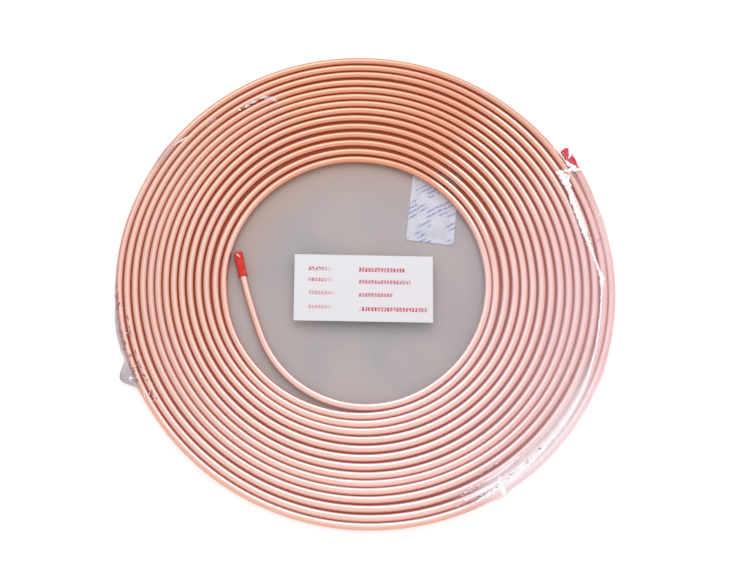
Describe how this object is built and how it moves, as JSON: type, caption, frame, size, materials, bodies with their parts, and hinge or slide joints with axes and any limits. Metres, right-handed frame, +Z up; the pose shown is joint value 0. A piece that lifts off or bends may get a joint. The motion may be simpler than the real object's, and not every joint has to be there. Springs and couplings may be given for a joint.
{
  "type": "copper tube coil",
  "caption": "Flat spiral coil of soft copper tube with capped ends, a label card and a drying sachet, sealed in clear film.",
  "frame": {"origin": "centre of the wrapped coil's underside, on the level it lies on", "axes": "+Z up along the coil's axis, through its thickness; +X towards the side where the last whole turn ends, with the outer end 33 degrees on from it"},
  "size_m": [0.4366, 0.4333, 0.0088],
  "materials": {
    "copper": "bright drawn copper",
    "red_plastic": "soft moulded plastic",
    "clear_film": "clear shrink film",
    "white_card": "smooth card",
    "sachet_paper": "soft fibrous paper"
  },
  "bodies": {
    "root": {"tube_coil": "copper", "end_cap_inner": "red_plastic", "end_cap_outer": "red_plastic", "film_wrap": "clear_film", "label_card": "white_card", "desiccant_sachet": "sachet_paper"}
  },
  "joints": []
}
